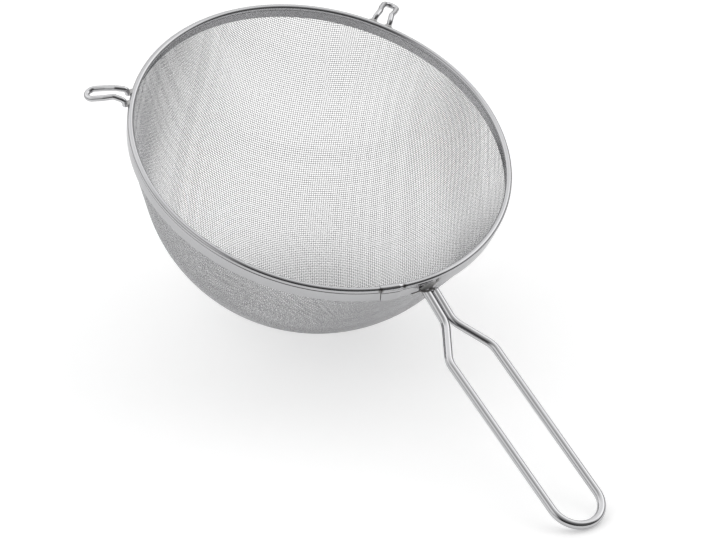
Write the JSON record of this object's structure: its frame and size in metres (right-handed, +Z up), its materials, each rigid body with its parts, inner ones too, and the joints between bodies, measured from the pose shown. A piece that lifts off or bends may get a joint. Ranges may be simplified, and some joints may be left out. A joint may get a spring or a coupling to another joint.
{
  "type": "mesh strainer",
  "caption": "Round kitchen strainer: a deep bowl of woven steel wire in a rolled rim, with a long bent-wire handle and wire rests that hook over a pot.",
  "frame": {"origin": "on the table, under the middle of the strainer's bounding box, as it rests on its bowl and on the end of its handle", "axes": "+Z up from the table; +X along the handle, away from the bowl; +Y completes a right-handed frame, and the plane y = 0 halves bowl and handle"},
  "size_m": [0.3271, 0.2, 0.1305],
  "materials": {
    "woven_steel": "plain-woven stainless steel wire, bright, with a fine even grain",
    "polished_steel": "polished stainless steel",
    "core_steel": "drawn steel wire, inside the rim"
  },
  "bodies": {
    "root": {"mesh_bowl": "woven_steel", "rim_band": "polished_steel", "rim_wire": "core_steel", "handle_wire": "polished_steel", "rest_loop_left": "polished_steel", "rest_loop_right": "polished_steel"}
  },
  "joints": []
}
